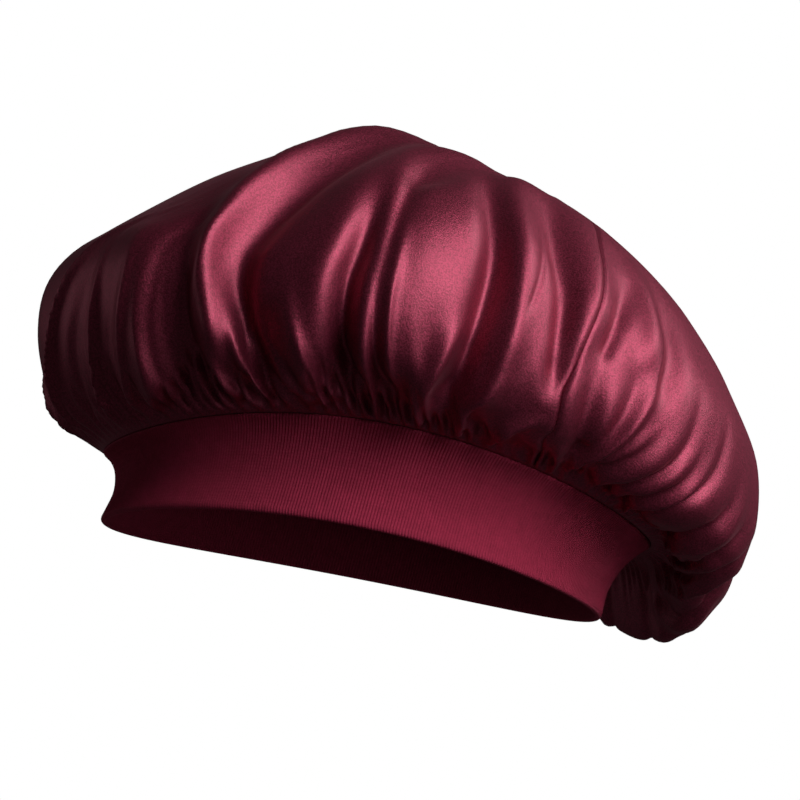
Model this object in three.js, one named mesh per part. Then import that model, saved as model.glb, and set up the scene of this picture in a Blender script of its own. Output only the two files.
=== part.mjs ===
// Sleep bonnet: a puffed satin crown in two panels, gathered into a wide folded knit band.
// Millimetres. +X is the back of the head, -Y is the side the photograph shows, +Z is up.
// The origin is the middle of the head opening, at the band's lower edge. The bonnet keeps
// the form it has on a head: the band rises towards the forehead and the crown sags behind.
import * as THREE from 'three';

// Sizes of the knit band, measured over its outside.
const RIM_LENGTH = 194;
const RIM_WIDTH = 162;
const RIM_PITCH = THREE.MathUtils.degToRad(10.9);
const RIM_ARCH = 7;
const FRONT_RISE = 27;
const SIDE_RISE = 38;
const BACK_RISE = 28;
const FRONT_FLARE = -1;
const SIDE_FLARE = 7;
const BACK_FLARE = 19;
const WAIST_DEPTH = 5;
const BAND_WALL = 2.4;

// Sizes of the satin crown, measured over its outside.
const CROWN_LENGTH = 283;
const CROWN_WIDTH = 242;
const CROWN_HEIGHT = 202;
const CROWN_WALL = 1.4;

// Sizes of the folds and of the gathers that the band holds. The cloth lies a little inside
// the smooth crown, so that its ridges reach the outline.
const FOLD_WIDTH = 12;
const FOLD_DEPTH = 7;
const FOLD_SINK = 1.5;
const GATHER_DEPTH = 2;
const GATHER_COUNT_FRONT = 40;
const GATHER_COUNT_BACK = 20;
const SEAM_DIP = 0.8;
const SEAM_REACH = 4;

// Sewn pieces keep this much clear of each other.
const CLEARANCE = 0.3;

// Where the crown hangs lowest behind the head, and how far round the sag spreads.
const SAG_AZIMUTH = 32;
const SAG_SPREAD_NEAR = 30;
const SAG_SPREAD_FAR = 40;

// How far along the meridians the folds die out at the band, the gathers die out above it
// and everything dies out at the middle of the crown.
const BAND_FADE = 0.05;
const GATHER_FULL = 0.13;
const GATHER_END = 0.34;
const MIDDLE_FADE = 0.84;

// Sections of the crown, from just above the band to its middle. along is the share of the
// way from band to middle. X shares are of the crown's length, Z shares and sag of its
// height, width is of its half width. seam is the azimuth of the panel seam in degrees.
const CROWN_SECTIONS = [
  { along: 0.05, frontX: -0.378, frontZ: 0.275, backX: 0.425, backZ: 0.045, width: 0.8, sideZ: 0.25, sag: 0.05, seam: 56 },
  { along: 0.1, frontX: -0.404, frontZ: 0.337, backX: 0.435, backZ: 0.035, width: 0.865, sideZ: 0.275, sag: 0.115, seam: 56 },
  { along: 0.15, frontX: -0.417, frontZ: 0.404, backX: 0.445, backZ: 0.02, width: 0.92, sideZ: 0.31, sag: 0.162, seam: 57 },
  { along: 0.2, frontX: -0.42, frontZ: 0.47, backX: 0.465, backZ: 0.005, width: 0.96, sideZ: 0.345, sag: 0.152, seam: 58 },
  { along: 0.25, frontX: -0.41, frontZ: 0.54, backX: 0.49, backZ: 0.005, width: 0.985, sideZ: 0.385, sag: 0.115, seam: 60 },
  { along: 0.3, frontX: -0.385, frontZ: 0.595, backX: 0.518, backZ: 0.015, width: 0.99, sideZ: 0.425, sag: 0.08, seam: 62 },
  { along: 0.35, frontX: -0.345, frontZ: 0.63, backX: 0.538, backZ: 0.04, width: 0.975, sideZ: 0.46, sag: 0.035, seam: 63 },
  { along: 0.4, frontX: -0.3, frontZ: 0.665, backX: 0.547, backZ: 0.075, width: 0.94, sideZ: 0.5, sag: 0.005, seam: 64 },
  { along: 0.5, frontX: -0.205, frontZ: 0.735, backX: 0.548, backZ: 0.2, width: 0.845, sideZ: 0.575, sag: 0, seam: 65 },
  { along: 0.6, frontX: -0.105, frontZ: 0.79, backX: 0.52, backZ: 0.32, width: 0.7, sideZ: 0.635, sag: 0, seam: 66 },
  { along: 0.65, frontX: -0.055, frontZ: 0.82, backX: 0.502, backZ: 0.377, width: 0.617, sideZ: 0.66, sag: 0, seam: 67 },
  { along: 0.7, frontX: 0.005, frontZ: 0.836, backX: 0.48, backZ: 0.43, width: 0.53, sideZ: 0.68, sag: 0, seam: 68 },
  { along: 0.75, frontX: 0.065, frontZ: 0.822, backX: 0.455, backZ: 0.484, width: 0.44, sideZ: 0.688, sag: 0, seam: 69 },
  { along: 0.8, frontX: 0.115, frontZ: 0.79, backX: 0.425, backZ: 0.535, width: 0.345, sideZ: 0.69, sag: 0, seam: 71 },
  { along: 0.9, frontX: 0.205, frontZ: 0.742, backX: 0.36, backZ: 0.62, width: 0.175, sideZ: 0.695, sag: 0, seam: 78 },
  { along: 1, frontX: 0.29, frontZ: 0.695, backX: 0.29, backZ: 0.695, width: 0, sideZ: 0.695, sag: 0, seam: 90 },
];

// Folds of the side that shows. Each runs from one share of the meridian to another, past
// three azimuths in degrees. width is a share of FOLD_WIDTH and height of FOLD_DEPTH, less
// than nothing for a valley.
const FOLDS = [
  { from: 0, to: 0.34, start: -188, middle: -182, end: -176, width: 0.9, height: 0.35 },
  { from: 0, to: 0.34, start: -173, middle: -160, end: -143, width: 0.45, height: 0.4 },
  { from: 0, to: 0.3, start: -165, middle: -153, end: -147, width: 0.5, height: -0.35 },
  { from: 0, to: 0.26, start: -156, middle: -146, end: -151, width: 0.45, height: 0.35 },
  { from: 0, to: 0.26, start: -145, middle: -137, end: -142, width: 0.4, height: 0.3 },
  { from: 0, to: 0.44, start: -137, middle: -135, end: -154, width: 0.95, height: 0.8 },
  { from: 0, to: 0.46, start: -129, middle: -125, end: -143, width: 0.55, height: -0.5 },
  { from: 0, to: 0.2, start: -115, middle: -118, end: -119, width: 0.45, height: 0.45 },
  { from: 0.03, to: 0.7, start: -113, middle: -131, end: -153, width: 0.8, height: 1 },
  { from: 0, to: 0.26, start: -110, middle: -113, end: -120, width: 0.35, height: 0.35 },
  { from: 0.06, to: 0.64, start: -107, middle: -121, end: -134, width: 0.65, height: -0.8 },
  { from: 0, to: 0.27, start: -99, middle: -103, end: -109, width: 0.5, height: 0.55 },
  { from: 0.05, to: 0.64, start: -98, middle: -111, end: -127, width: 1.3, height: 0.85 },
  { from: 0.03, to: 0.54, start: -91, middle: -98, end: -113, width: 0.5, height: -0.7 },
  { from: 0.02, to: 0.68, start: -89, middle: -101, end: -129, width: 0.55, height: 0.75 },
  { from: 0.06, to: 0.56, start: -83, middle: -95, end: -109, width: 0.45, height: -0.45 },
  { from: 0.1, to: 0.7, start: -80, middle: -90, end: -106, width: 1.3, height: 0.8 },
  { from: 0, to: 0.36, start: -81, middle: -80, end: -81, width: 0.4, height: 0.45 },
  { from: 0.06, to: 0.7, start: -75, middle: -79, end: -101, width: 0.6, height: -0.85 },
  { from: 0.06, to: 0.76, start: -69, middle: -75, end: -97, width: 0.65, height: 0.65 },
  { from: 0.24, to: 0.74, start: -62, middle: -72, end: -85, width: 0.55, height: -0.6 },
  { from: 0.34, to: 0.78, start: -64, middle: -65, end: -72, width: 0.45, height: 0.45 },
  { from: 0.4, to: 0.64, start: -60, middle: -60, end: -58, width: 0.45, height: -0.4 },
  { from: 0.42, to: 0.72, start: -54, middle: -53, end: -57, width: 0.45, height: 0.35 },
  { from: 0.42, to: 0.74, start: -49, middle: -46, end: -44, width: 0.55, height: -0.35 },
  { from: 0.16, to: 0.46, start: -51, middle: -58, end: -64, width: 0.55, height: -0.55 },
  { from: 0.1, to: 0.5, start: -49, middle: -51, end: -46, width: 0.45, height: 0.45 },
  { from: 0.1, to: 0.46, start: -46, middle: -48, end: -45, width: 0.45, height: -0.4 },
  { from: 0.06, to: 0.42, start: -42, middle: -44, end: -41, width: 0.4, height: 0.4 },
  { from: 0.06, to: 0.44, start: -37, middle: -41, end: -39, width: 0.4, height: -0.4 },
  { from: 0.06, to: 0.38, start: -34, middle: -38, end: -36, width: 0.4, height: 0.35 },
  { from: 0, to: 0.36, start: -28, middle: -34, end: -33, width: 0.4, height: 0.35 },
  { from: 0, to: 0.42, start: -25, middle: -31, end: -26, width: 0.4, height: -0.35 },
  { from: 0, to: 0.36, start: -20, middle: -29, end: -24, width: 0.5, height: 0.4 },
  { from: 0, to: 0.36, start: -10, middle: -22, end: -19, width: 0.4, height: -0.4 },
  { from: 0.02, to: 0.34, start: -8, middle: -17, end: -14, width: 0.45, height: 0.4 },
  { from: 0.02, to: 0.34, start: 2, middle: -10, end: -9, width: 0.4, height: -0.4 },
  { from: 0.03, to: 0.34, start: 8, middle: -3, end: -3, width: 0.45, height: 0.35 },
  { from: 0.04, to: 0.3, start: 18, middle: 8, end: 5, width: 0.45, height: 0.25 },
];

// The far side repeats the folds beyond this azimuth, mirrored, turned a little and softer.
const MIRROR_BEYOND = 12;
const MIRROR_TURN = 7;
const MIRROR_SOFTNESS = 0.85;

// Rows of the crown's mesh: their shares of the meridian and how many columns a full turn has.
const MESH_ROWS = [
  { along: 0, columns: 240 },
  { along: 0.022, columns: 240 },
  { along: 0.055, columns: 240 },
  { along: 0.095, columns: 240 },
  { along: 0.14, columns: 240 },
  { along: 0.185, columns: 120 },
  { along: 0.24, columns: 120 },
  { along: 0.3, columns: 120 },
  { along: 0.37, columns: 120 },
  { along: 0.45, columns: 120 },
  { along: 0.54, columns: 60 },
  { along: 0.64, columns: 60 },
  { along: 0.76, columns: 60 },
  { along: 0.88, columns: 30 },
  { along: 1, columns: 0 },
];
const BAND_COLUMNS = 96;

// Heights of the band's rings, from its folded lower edge to the seam, as shares of the rise,
// each with the share of the waist that it is drawn in by.
const BAND_RINGS = [
  { share: 0, waist: 0 },
  { share: 0.16, waist: 0.4 },
  { share: 0.36, waist: 0.85 },
  { share: 0.58, waist: 1 },
  { share: 0.78, waist: 0.85 },
  { share: 0.92, waist: 0.45 },
  { share: 1, waist: 0 },
];
const HEM_TURNS = 3;

const TINY = 1e-3;
const radians = THREE.MathUtils.degToRad;
const { lerp, smoothstep } = THREE.MathUtils;

// A section is an oval seen from above, whose front, back and sides have their own heights.
function sectionPoint(section, azimuth) {
  const cosine = Math.cos(azimuth);
  const sine = Math.sin(azimuth);
  const middleX = (section.frontX + section.backX) / 2;
  const middleZ = (section.frontZ + section.backZ) / 2;
  return new THREE.Vector3(
    middleX + (section.backX - section.frontX) / 2 * cosine,
    section.halfWidth * sine,
    middleZ + (section.backZ - section.frontZ) / 2 * cosine + (section.sideZ - middleZ) * sine * sine,
  );
}

// The band's lower edge: tilted, and arched over the ears.
function rimSection() {
  const reach = RIM_LENGTH / 2 * Math.cos(RIM_PITCH);
  const drop = RIM_LENGTH / 2 * Math.sin(RIM_PITCH);
  return { frontX: -reach, frontZ: drop, backX: reach, backZ: -drop, halfWidth: RIM_WIDTH / 2, sideZ: RIM_ARCH };
}

// The seam between band and crown, which both of them follow.
function seamSection() {
  const rim = rimSection();
  return {
    frontX: rim.frontX - FRONT_FLARE,
    frontZ: rim.frontZ + FRONT_RISE,
    backX: rim.backX + BACK_FLARE,
    backZ: rim.backZ + BACK_RISE,
    halfWidth: rim.halfWidth + SIDE_FLARE,
    sideZ: rim.sideZ + SIDE_RISE,
  };
}

// The crown's sections in millimetres, with the seam at the band as the first of them.
function crownSections() {
  const first = { ...seamSection(), along: 0, sag: 0, seam: CROWN_SECTIONS[0].seam };
  const others = CROWN_SECTIONS.map((row) => ({
    along: row.along,
    frontX: row.frontX * CROWN_LENGTH,
    frontZ: row.frontZ * CROWN_HEIGHT,
    backX: row.backX * CROWN_LENGTH,
    backZ: row.backZ * CROWN_HEIGHT,
    halfWidth: row.width * CROWN_WIDTH / 2,
    sideZ: row.sideZ * CROWN_HEIGHT,
    sag: row.sag * CROWN_HEIGHT,
    seam: row.seam,
  }));
  return [first, ...others];
}

const SECTIONS = crownSections();

// The slope of one column of the sections at one of its rows.
function slopeAt(rows, index, name) {
  const before = rows[Math.max(index - 1, 0)];
  const after = rows[Math.min(index + 1, rows.length - 1)];
  const here = rows[index];
  if (before === here) return (after[name] - here[name]) / (after.along - here.along);
  if (after === here) return (here[name] - before[name]) / (here.along - before.along);
  const lower = (here[name] - before[name]) / (here.along - before.along);
  const upper = (after[name] - here[name]) / (after.along - here.along);
  const weight = (here.along - before.along) / (after.along - before.along);
  return lerp(lower, upper, weight);
}

// A section between the rows of the table, on a smooth curve through all of them.
function sectionAt(along) {
  let index = SECTIONS.length - 2;
  while (index > 0 && SECTIONS[index].along > along) index -= 1;
  const low = SECTIONS[index];
  const high = SECTIONS[index + 1];
  const span = high.along - low.along;
  const share = (along - low.along) / span;
  const section = {};
  for (const name of Object.keys(low)) {
    const startSlope = slopeAt(SECTIONS, index, name) * span;
    const endSlope = slopeAt(SECTIONS, index + 1, name) * span;
    const square = share * share;
    const cube = square * share;
    section[name] = low[name] * (2 * cube - 3 * square + 1) + high[name] * (3 * square - 2 * cube)
      + startSlope * (cube - 2 * square + share) + endSlope * (cube - square);
  }
  return section;
}

// The shorter way round from one azimuth to another, in degrees.
function turnBetween(from, to) {
  return THREE.MathUtils.euclideanModulo(to - from + 180, 360) - 180;
}

// The smooth crown, before its folds.
function crownPoint(azimuth, along) {
  const section = sectionAt(along);
  const point = sectionPoint(section, azimuth);
  const turn = turnBetween(SAG_AZIMUTH, THREE.MathUtils.radToDeg(azimuth));
  const spread = turn < 0 ? SAG_SPREAD_NEAR : SAG_SPREAD_FAR;
  point.z -= section.sag * Math.exp(-((turn / spread) ** 2));
  return point;
}

// The direction out of the smooth crown.
function crownNormal(azimuth, along) {
  if (along === 1) return middleNormal();
  const place = Math.max(along, TINY);
  const round = crownPoint(azimuth + TINY, place).sub(crownPoint(azimuth - TINY, place));
  const up = crownPoint(azimuth, place + TINY).sub(crownPoint(azimuth, place - TINY));
  return round.cross(up).normalize();
}

// The direction out at the crown's middle, where the azimuths meet.
function middleNormal() {
  const close = 1 - 20 * TINY;
  const around = [0, 1, 2, 3].map((quarter) => crownNormal(quarter * Math.PI / 2, close));
  return around.reduce((sum, normal) => sum.add(normal)).normalize();
}

// How far round one radian reaches at a place on the crown.
function turnLength(azimuth, along) {
  return crownPoint(azimuth + TINY, along).distanceTo(crownPoint(azimuth - TINY, along)) / (2 * TINY);
}

// The seam between the panels, on the near side. The far side's is its mirror image.
function seamAzimuth(along) {
  return -radians(sectionAt(along).seam);
}

// The height of one fold, 0 past its ends and away from its line.
function foldAt(fold, degrees, along, radianLength) {
  const share = (along - fold.from) / (fold.to - fold.from);
  if (share <= 0 || share >= 1) return 0;
  const line = fold.start * (1 - share) * (1 - 2 * share) + fold.middle * 4 * share * (1 - share)
    + fold.end * share * (2 * share - 1);
  const away = radians(turnBetween(line, degrees)) * radianLength / (fold.width * FOLD_WIDTH);
  return fold.height * FOLD_DEPTH * Math.exp(-away * away) * Math.sin(Math.PI * share) ** 0.6;
}

function foldsHeight(azimuth, along) {
  const degrees = THREE.MathUtils.radToDeg(azimuth);
  const radianLength = turnLength(azimuth, along);
  let height = 0;
  for (const fold of FOLDS) {
    height += foldAt(fold, degrees, along, radianLength);
    if (Math.abs(turnBetween(fold.middle, 0)) > MIRROR_BEYOND) {
      height += MIRROR_SOFTNESS * foldAt(fold, MIRROR_TURN - degrees, along, radianLength);
    }
  }
  return height;
}

// The gathers' height at a share of the way across a panel. They start and end in a valley,
// and some are fuller than others.
function gatherHeight(panelShare, along, count) {
  const wave = -Math.cos(2 * Math.PI * count * panelShare);
  const fullness = 1 + 0.35 * Math.sin(2 * Math.PI * 3 * panelShare) * Math.sin(2 * Math.PI * 7 * panelShare);
  const strength = smoothstep(along, 0, GATHER_FULL / 2) * (1 - smoothstep(along, GATHER_FULL, GATHER_END));
  return GATHER_DEPTH / 2 * wave * fullness * strength;
}

// How far the folded cloth stands out of the smooth crown.
function clothHeight(azimuth, along, panelShare, count) {
  const fade = smoothstep(along, 0, BAND_FADE) * (1 - smoothstep(along, MIDDLE_FADE, 1));
  const toSeam = Math.abs(Math.abs(turnBetween(0, THREE.MathUtils.radToDeg(azimuth))) - sectionAt(along).seam);
  const fromSeam = radians(toSeam) * turnLength(azimuth, along) / SEAM_REACH;
  const dip = SEAM_DIP * Math.exp(-fromSeam * fromSeam);
  return fade * (foldsHeight(azimuth, along) - dip - FOLD_SINK) + gatherHeight(panelShare, along, count);
}

// The direction across the panel seam, at the given seam, on the side where azimuths grow.
function acrossSeam(side, along) {
  const place = Math.min(along, 1 - 2 * TINY);
  const low = crownPoint(side * seamAzimuth(Math.max(place - TINY, 0)), Math.max(place - TINY, 0));
  const high = crownPoint(side * seamAzimuth(place + TINY), place + TINY);
  const normal = crownNormal(side * seamAzimuth(place), place);
  return high.sub(low).cross(normal).normalize();
}

// Collects the vertices and triangles of one closed body.
class Body {
  constructor() {
    this.positions = [];
    this.triangles = [];
  }

  // Adds a row of points and returns their indices.
  row(points) {
    return points.map((point) => {
      this.positions.push(point.x, point.y, point.z);
      return this.positions.length / 3 - 1;
    });
  }

  // Fills the strip between two rows, which may have different numbers of points. upperFirst
  // says which way the strip's four-sided stretches are split.
  strip(lower, upper, upperFirst = false) {
    const last = lower.length - 1;
    const end = upper.length - 1;
    let i = 0;
    let j = 0;
    while (i < last || j < end) {
      const lead = (j + 1) / end - (i + 1) / last;
      if (j === end || (i < last && (lead > 0 || (lead === 0 && !upperFirst)))) {
        this.triangles.push(lower[i], lower[i + 1], upper[j]);
        i += 1;
      } else {
        this.triangles.push(lower[i], upper[j + 1], upper[j]);
        j += 1;
      }
    }
  }

  strips(rows) {
    for (let k = 0; k + 1 < rows.length; k += 1) this.strip(rows[k], rows[k + 1]);
  }

  mesh(name, material) {
    const geometry = new THREE.BufferGeometry();
    geometry.setAttribute('position', new THREE.Float32BufferAttribute(this.positions, 3));
    geometry.setIndex(this.triangles);
    geometry.computeVertexNormals();
    const mesh = new THREE.Mesh(geometry, material);
    mesh.name = name;
    return mesh;
  }
}

// One satin panel, a closed shell between two seams. panel gives the azimuth that it spans at
// a share of the meridian and how many of the gathers are in it.
function crownPanel(name, panel, material) {
  const body = new Body();
  const outerRows = [];
  const innerRows = [];
  const turnShare = panel.gathers / (GATHER_COUNT_FRONT + GATHER_COUNT_BACK);
  for (const { along, columns } of MESH_ROWS) {
    const [start, end] = panel.span(along);
    const count = Math.round(columns * turnShare);
    const outer = [];
    const inner = [];
    for (let k = 0; k <= count; k += 1) {
      const share = count ? k / count : 0.5;
      const azimuth = lerp(start, end, share);
      const point = crownPoint(azimuth, along);
      const normal = crownNormal(azimuth, along);
      const height = clothHeight(azimuth, along, share, panel.gathers);
      if (k === 0) point.addScaledVector(acrossSeam(panel.startSide, along), CLEARANCE / 2);
      if (count && k === count) point.addScaledVector(acrossSeam(-panel.startSide, along), -CLEARANCE / 2);
      outer.push(point.clone().addScaledVector(normal, height));
      inner.push(point.clone().addScaledVector(normal, height - CROWN_WALL));
    }
    outerRows.push(body.row(outer));
    innerRows.push(body.row(inner));
  }
  const firstOf = (rows) => rows.map((row) => row[0]);
  const lastOf = (rows) => rows.map((row) => row[row.length - 1]);
  body.strips(outerRows);
  body.strips([...innerRows].reverse());
  body.strip(innerRows[0], outerRows[0]);
  body.strip(firstOf(outerRows), firstOf(innerRows));
  body.strip(lastOf(innerRows), lastOf(outerRows), true);
  return body.mesh(name, material);
}

// The front panel goes round the forehead, from the far side's seam to the near side's.
const FRONT_PANEL = {
  gathers: GATHER_COUNT_FRONT,
  startSide: -1,
  span: (along) => [-seamAzimuth(along), 2 * Math.PI + seamAzimuth(along)],
};

const BACK_PANEL = {
  gathers: GATHER_COUNT_BACK,
  startSide: 1,
  span: (along) => [seamAzimuth(along), -seamAzimuth(along)],
};

// The band's top edge, just clear of the crown's gathered edge.
function bandTop(azimuth) {
  return crownPoint(azimuth, 0).addScaledVector(crownNormal(azimuth, 0), CLEARANCE);
}

// The level direction out of the band.
function bandOutward(azimuth) {
  return new THREE.Vector3(Math.cos(azimuth) * RIM_WIDTH, Math.sin(azimuth) * RIM_LENGTH, 0).normalize();
}

// The outside of the band, from its lower edge at 0 to its top at 1.
function bandPoint(azimuth, ring) {
  const rim = sectionPoint(rimSection(), azimuth);
  rim.z += BAND_WALL / 2;
  const point = rim.lerp(bandTop(azimuth), ring.share);
  return point.addScaledVector(bandOutward(azimuth), -ring.waist * WAIST_DEPTH);
}

// The closed profile of the band at one azimuth: up the outside, over the top, down the
// inside and round the folded hem.
function bandProfile(azimuth) {
  const inward = bandOutward(azimuth).multiplyScalar(-BAND_WALL);
  const outside = BAND_RINGS.map((ring) => bandPoint(azimuth, ring));
  const inside = outside.map((point) => point.clone().add(inward)).reverse();
  const hemMiddle = outside[0].clone().addScaledVector(inward, 0.5);
  const hem = [];
  for (let turn = 1; turn < HEM_TURNS; turn += 1) {
    const angle = Math.PI * turn / HEM_TURNS;
    const point = hemMiddle.clone().addScaledVector(inward, 0.5 * Math.cos(angle));
    point.z -= BAND_WALL / 2 * Math.sin(angle);
    hem.push(point);
  }
  return [...outside, ...inside, ...hem];
}

function headband(material) {
  const body = new Body();
  const profiles = [];
  for (let k = 0; k < BAND_COLUMNS; k += 1) {
    const indices = body.row(bandProfile(2 * Math.PI * k / BAND_COLUMNS));
    profiles.push([...indices, indices[0]]);
  }
  body.strips([profiles[0], ...profiles.slice(1).reverse(), profiles[0]]);
  return body.mesh('headband', material);
}

const satin = new THREE.MeshStandardMaterial({ color: 0x5a1d2b, roughness: 0.4, metalness: 0.1 });
const knit = new THREE.MeshStandardMaterial({ color: 0x4a151f, roughness: 0.9, metalness: 0 });

const bonnet = new THREE.Group();
bonnet.add(headband(knit));
bonnet.add(crownPanel('crown_front_panel', FRONT_PANEL, satin));
bonnet.add(crownPanel('crown_back_panel', BACK_PANEL, satin));

export default bonnet;
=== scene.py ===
"""Sleep bonnet: burgundy satin gathered into a wide ribbed knit headband.

The crown is a smooth form through a few sections, folded and gathered as the satin is, and
each panel is a thin closed shell. Lengths are in metres.
"""

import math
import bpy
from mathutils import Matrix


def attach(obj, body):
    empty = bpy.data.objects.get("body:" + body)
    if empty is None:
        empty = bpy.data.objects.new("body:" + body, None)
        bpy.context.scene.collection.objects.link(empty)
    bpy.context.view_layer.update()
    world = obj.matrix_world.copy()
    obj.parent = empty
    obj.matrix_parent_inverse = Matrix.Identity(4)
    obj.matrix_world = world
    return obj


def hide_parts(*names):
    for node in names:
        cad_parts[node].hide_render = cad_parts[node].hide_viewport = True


bl_info = {
    "name": "Sleep Bonnet",
    "version": (1, 0, 0),
    "blender": (4, 5, 0),
    "location": "View3D > Sidebar > Bonnet",
    "description": "Builds a gathered satin sleep bonnet with a ribbed knit headband",
    "category": "Add Mesh",
}

from typing import NamedTuple

import bpy
import numpy as np

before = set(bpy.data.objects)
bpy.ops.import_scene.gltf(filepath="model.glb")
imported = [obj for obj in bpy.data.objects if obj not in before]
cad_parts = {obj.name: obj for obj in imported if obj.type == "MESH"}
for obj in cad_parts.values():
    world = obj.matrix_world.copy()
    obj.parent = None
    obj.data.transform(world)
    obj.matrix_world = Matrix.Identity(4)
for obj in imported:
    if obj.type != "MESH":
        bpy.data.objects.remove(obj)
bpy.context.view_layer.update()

# The gap between the band and the crown.
CLEARANCE = 0.0003


class Section(NamedTuple):
    """One section of the crown. X is a share of its length, Z and sag of its height and
    width of its half width. seam is the panel seam's azimuth in degrees."""
    along: float
    front_x: float
    front_z: float
    back_x: float
    back_z: float
    width: float
    side_z: float
    sag: float
    seam: float


CROWN_SECTIONS = (
    Section(0.05, -0.378, 0.275, 0.425, 0.045, 0.8, 0.25, 0.05, 56),
    Section(0.1, -0.404, 0.337, 0.435, 0.035, 0.865, 0.275, 0.115, 56),
    Section(0.15, -0.417, 0.404, 0.45, 0.02, 0.92, 0.31, 0.174, 57),
    Section(0.2, -0.42, 0.47, 0.477, 0.005, 0.96, 0.345, 0.162, 58),
    Section(0.25, -0.41, 0.54, 0.502, 0.005, 0.985, 0.385, 0.115, 60),
    Section(0.3, -0.385, 0.595, 0.522, 0.015, 0.99, 0.425, 0.08, 62),
    Section(0.35, -0.345, 0.63, 0.535, 0.04, 0.975, 0.46, 0.035, 63),
    Section(0.4, -0.3, 0.665, 0.544, 0.075, 0.94, 0.5, 0.005, 64),
    Section(0.5, -0.205, 0.735, 0.548, 0.2, 0.845, 0.575, 0, 65),
    Section(0.6, -0.105, 0.79, 0.52, 0.32, 0.7, 0.635, 0, 66),
    Section(0.65, -0.055, 0.82, 0.502, 0.377, 0.617, 0.66, 0, 67),
    Section(0.7, 0.005, 0.836, 0.48, 0.43, 0.53, 0.68, 0, 68),
    Section(0.75, 0.065, 0.822, 0.455, 0.484, 0.44, 0.688, 0, 69),
    Section(0.8, 0.115, 0.79, 0.425, 0.535, 0.345, 0.69, 0, 71),
    Section(0.9, 0.205, 0.742, 0.36, 0.62, 0.175, 0.695, 0, 78),
    Section(1, 0.29, 0.695, 0.29, 0.695, 0, 0.695, 0, 90),
)


class Fold(NamedTuple):
    """A fold from one share of the meridian to another, past three azimuths in degrees. Its
    width and height are shares of the fold sizes, and lean is how far it tips over round the
    crown, as a share of its height."""
    low: float
    high: float
    start: float
    middle: float
    end: float
    width: float
    height: float
    lean: float


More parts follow.
